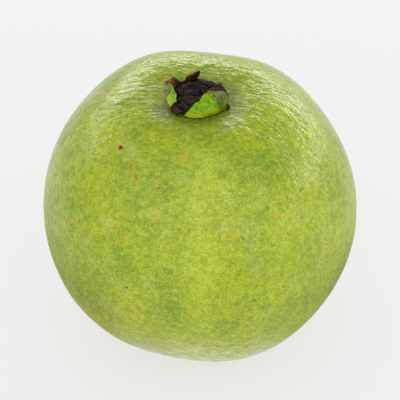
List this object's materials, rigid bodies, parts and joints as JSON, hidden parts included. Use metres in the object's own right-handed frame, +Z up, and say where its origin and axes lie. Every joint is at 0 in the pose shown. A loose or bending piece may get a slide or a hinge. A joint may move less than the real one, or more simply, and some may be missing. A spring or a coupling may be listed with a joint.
{
  "type": "guava",
  "caption": "Round green guava with a withered calyx crown in a shallow basin and a stem dimple underneath.",
  "frame": {"origin": "on the surface that the fruit stands on, under the middle of its box", "axes": "+Z up along the fruit's axis from the stem end to the calyx, -Y towards the front of the calyx, where its broad green lobe is"},
  "size_m": [0.0747, 0.0749, 0.0711],
  "materials": {
    "guava_skin": "waxy, half gloss",
    "calyx_green": "waxy, half gloss",
    "dried_flower": "matte, wrinkled",
    "stalk_bark": "matte"
  },
  "bodies": {
    "root": {"fruit": "guava_skin", "calyx": "calyx_green", "dried_flower": "dried_flower", "stalk_stub": "stalk_bark"}
  },
  "joints": []
}
